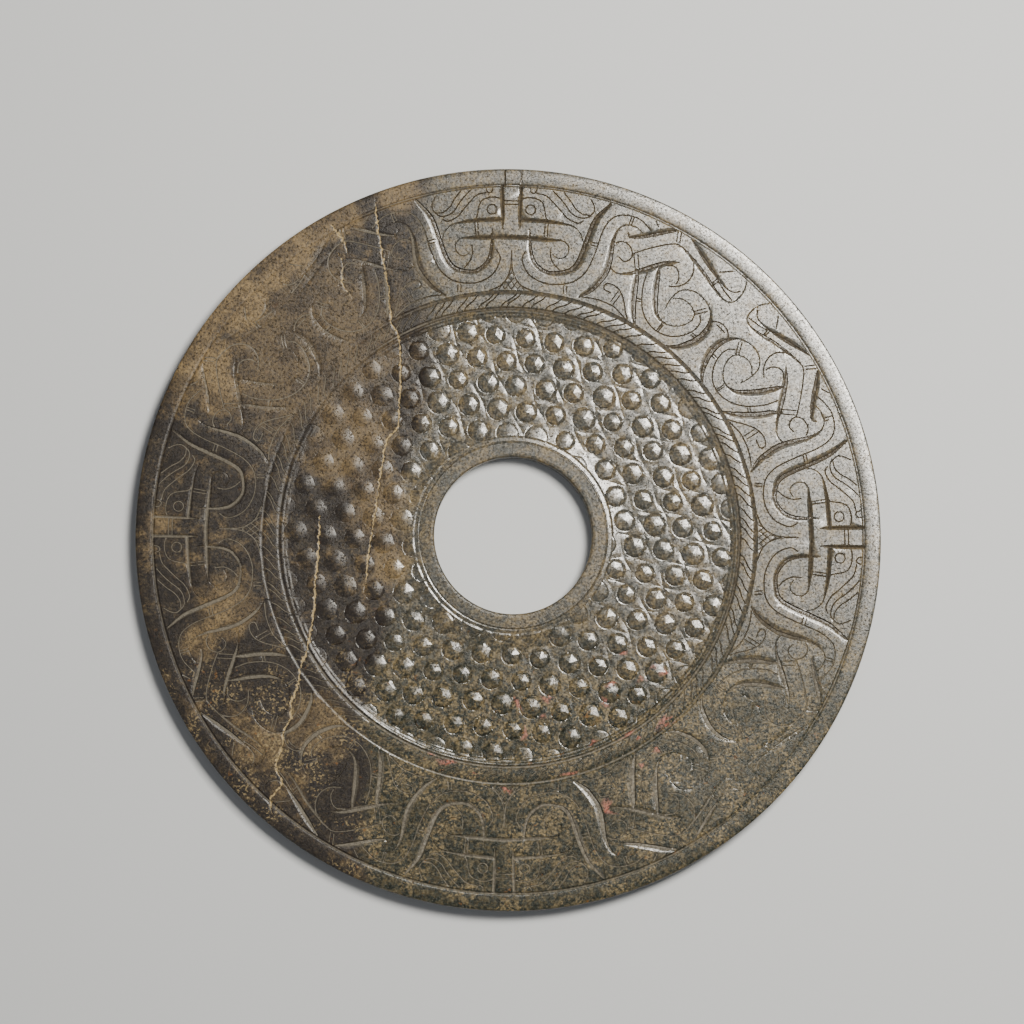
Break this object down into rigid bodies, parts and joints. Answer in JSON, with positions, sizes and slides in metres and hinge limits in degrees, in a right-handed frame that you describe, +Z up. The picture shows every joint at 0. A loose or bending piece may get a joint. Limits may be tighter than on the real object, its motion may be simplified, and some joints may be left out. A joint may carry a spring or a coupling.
{
  "type": "jade bi disc",
  "caption": "Flat round carved stone ring with a central hole, a carved outer frieze, a twisted-cord band and a field of raised grains, lying face up.",
  "frame": {"origin": "under the centre of the disc's outline, on the surface that it lies on", "axes": "+Z up out of the carved face, +Y towards the mask at the top of the carving, +X to the right of it"},
  "size_m": [0.24, 0.24, 0.0064],
  "materials": {
    "jade": "polished grey-green jade with brown and tan clouds, staining in the carving and pale healed cracks"
  },
  "bodies": {
    "root": {"disc": "jade"}
  },
  "joints": []
}
